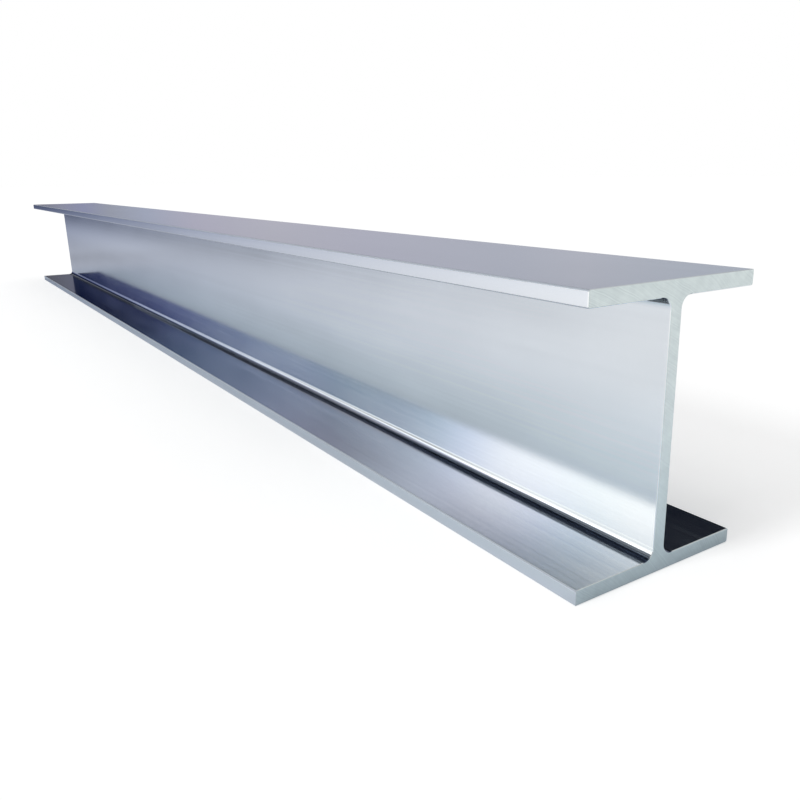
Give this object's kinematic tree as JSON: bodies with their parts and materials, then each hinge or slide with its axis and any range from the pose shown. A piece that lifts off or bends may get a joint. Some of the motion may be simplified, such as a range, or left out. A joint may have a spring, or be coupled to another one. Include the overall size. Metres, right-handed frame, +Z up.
{
  "type": "steel i-beam",
  "caption": "Hot-rolled wide-flange steel beam: parallel flanges on an upright web, root fillets, rounded toes and square sawn ends.",
  "frame": {"origin": "on the floor, under the middle of the beam", "axes": "+X along the beam's length, +Y across its flanges, +Z up the web"},
  "size_m": [4, 0.3, 0.39],
  "materials": {
    "rolled_steel": "clean, bright satin steel with faint rolling lines along the length and fine saw marks on the ends"
  },
  "bodies": {
    "root": {"i_beam": "rolled_steel"}
  },
  "joints": []
}
